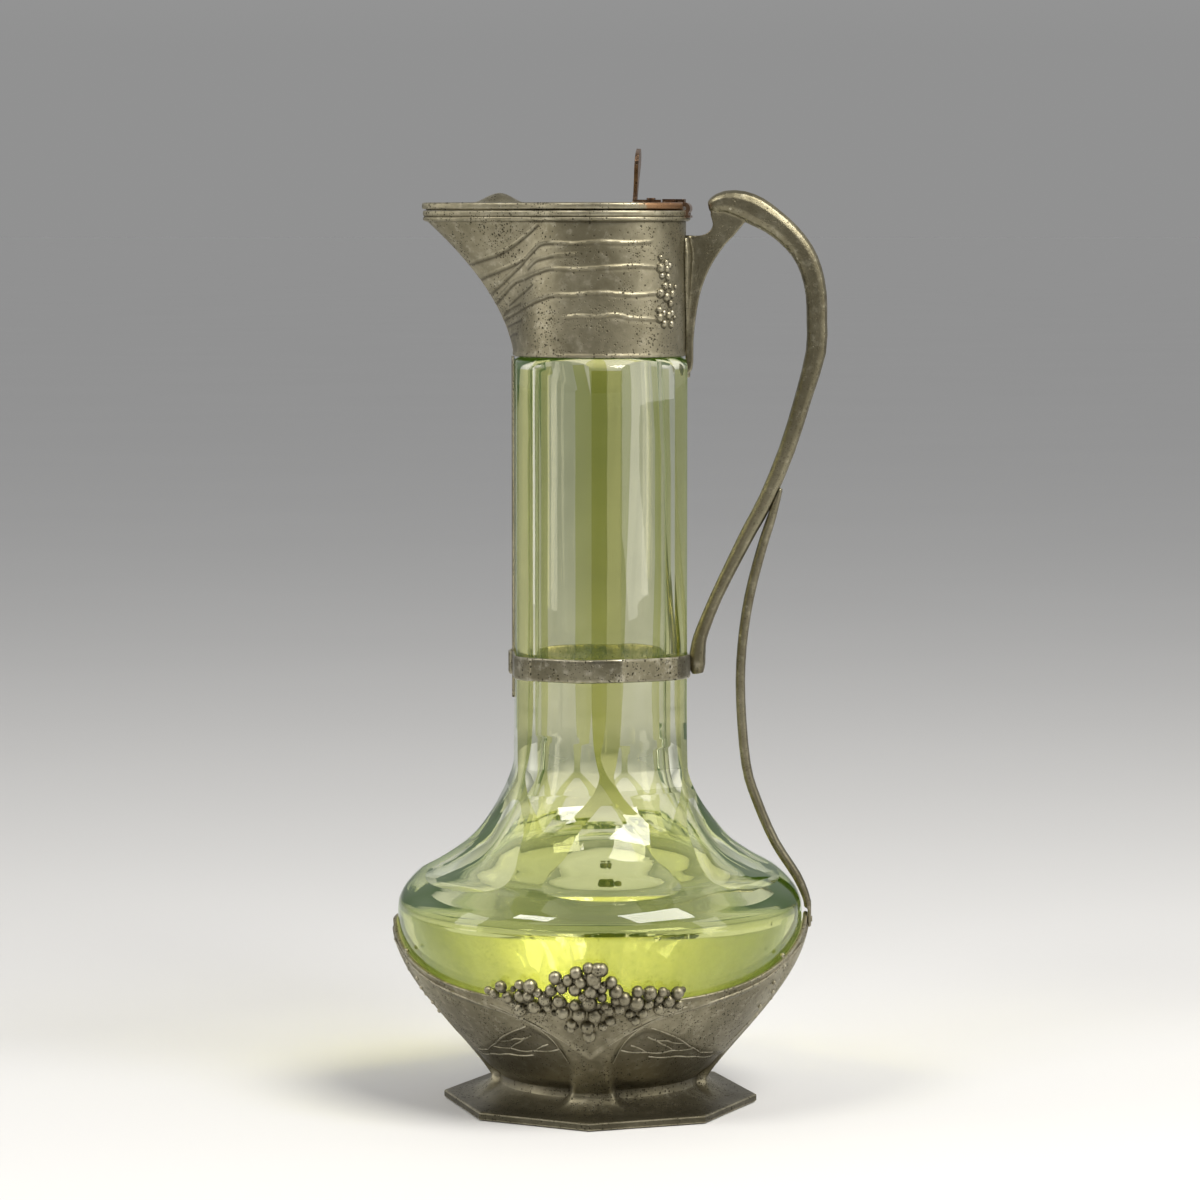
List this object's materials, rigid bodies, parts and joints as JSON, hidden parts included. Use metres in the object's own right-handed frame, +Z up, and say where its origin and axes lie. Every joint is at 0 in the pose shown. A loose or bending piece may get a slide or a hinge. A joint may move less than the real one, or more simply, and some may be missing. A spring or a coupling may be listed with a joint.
{
  "type": "claret jug",
  "caption": "Tall claret jug of cut yellow-green glass in grey pewter mounts, with an eight-sided foot, berry ornament, loop handle, spout and hinged lid with thumb piece.",
  "frame": {"origin": "centre of the foot's flat underside, on the bottle's axis", "axes": "+Z up along the bottle's axis, -X towards the spout, +X towards the handle"},
  "size_m": [0.1679, 0.165, 0.3688],
  "materials": {
    "pewter": "aged satin pewter, darker in the recesses, bright on worn edges",
    "cut_glass": "polished transparent yellow-green glass",
    "worn_brass": "brown, worn plating",
    "hinge_steel": "plain drawn wire",
    "cork": "pressed cork, matt",
    "plaster": "set plaster, matt"
  },
  "bodies": {
    "jug": {"base_cup": "pewter", "foot_plate": "pewter", "base_pad": "cork", "glass_body": "cut_glass", "berries_front": "pewter", "berries_back": "pewter", "neck_band": "pewter", "band_rivet": "pewter", "spout_tongue": "pewter", "collar": "pewter", "collar_bedding": "plaster", "collar_hinge_lug": "worn_brass", "hinge_pin": "hinge_steel", "handle": "pewter", "handle_strut": "pewter", "strut_rivet": "pewter"},
    "lid": {"lid": "pewter", "lid_hinge_leaf": "worn_brass", "thumb_piece": "worn_brass", "thumb_rivets": "worn_brass"}
  },
  "joints": [
    {"name": "lid_hinge", "type": "hinge", "parent": "jug", "child": "lid", "pos_m": [0.0327, 0, 0.34595], "axis": [0, 1, 0], "range_deg": [0, 105]}
  ]
}
